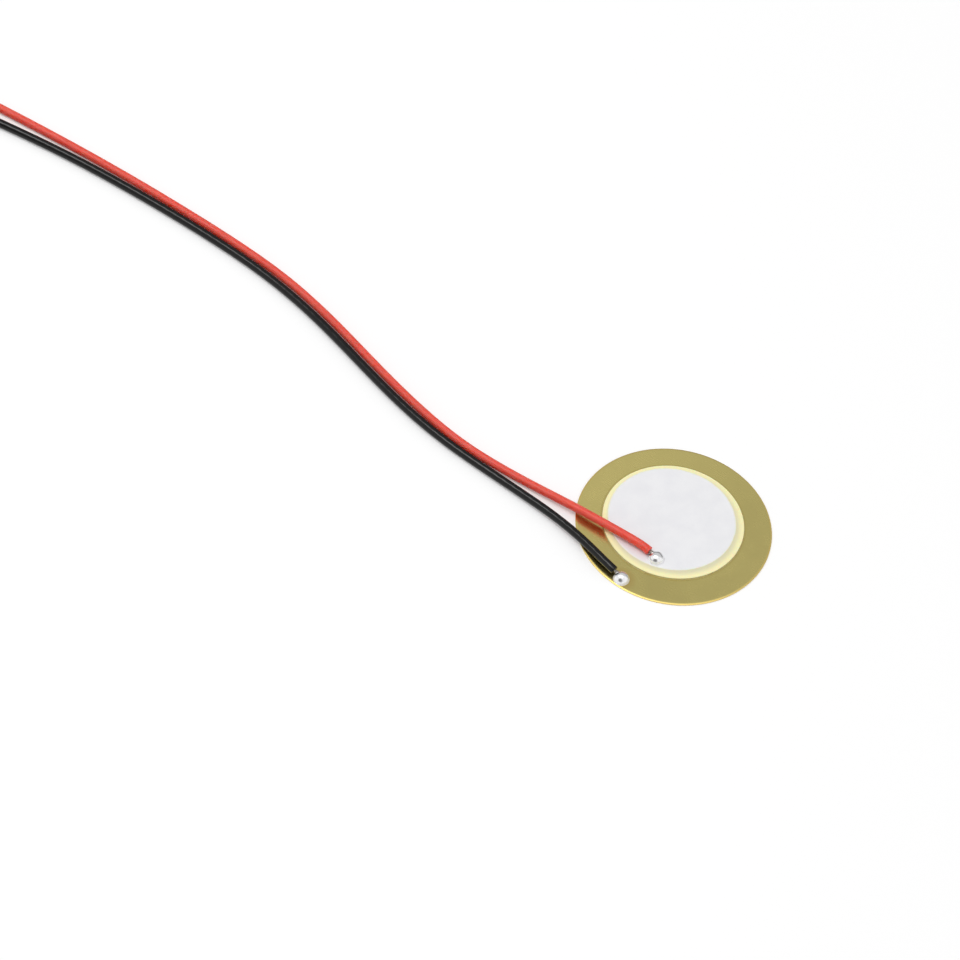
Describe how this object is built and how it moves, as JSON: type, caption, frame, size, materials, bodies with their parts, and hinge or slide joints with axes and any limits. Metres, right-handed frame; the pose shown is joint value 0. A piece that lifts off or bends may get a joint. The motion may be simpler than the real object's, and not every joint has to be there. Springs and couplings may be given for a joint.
{
  "type": "piezo disc with leads",
  "caption": "Thin round brass plate with a silvered ceramic disc bonded to it, and a red and a black wire lead soldered on.",
  "frame": {"origin": "centre of the brass plate's back face", "axes": "+Z from the plate's back face up through the ceramic side, -X the way the two leads run, -Y towards the black lead's solder joint on the plate's rim"},
  "size_m": [0.1621, 0.027, 0.002],
  "materials": {
    "brass": "rolled brass sheet, smooth and slightly dulled",
    "adhesive": "cured clear adhesive, slightly yellow",
    "ceramic": "bare fired ceramic, matte pale yellow",
    "silver": "screen-printed fired silver, matte white",
    "solder": "bright solder",
    "red_jacket": "soft extruded insulation, satin gloss",
    "black_jacket": "soft extruded insulation, satin gloss",
    "tinned_wire": "tinned copper strands"
  },
  "bodies": {
    "root": {"brass_plate": "brass", "bond_film": "adhesive", "rear_electrode": "silver", "ceramic_disc": "ceramic", "front_electrode": "silver", "red_solder_joint": "solder", "black_solder_joint": "solder", "red_lead_jacket": "red_jacket", "red_lead_conductor": "tinned_wire", "black_lead_jacket": "black_jacket", "black_lead_conductor": "tinned_wire"}
  },
  "joints": []
}
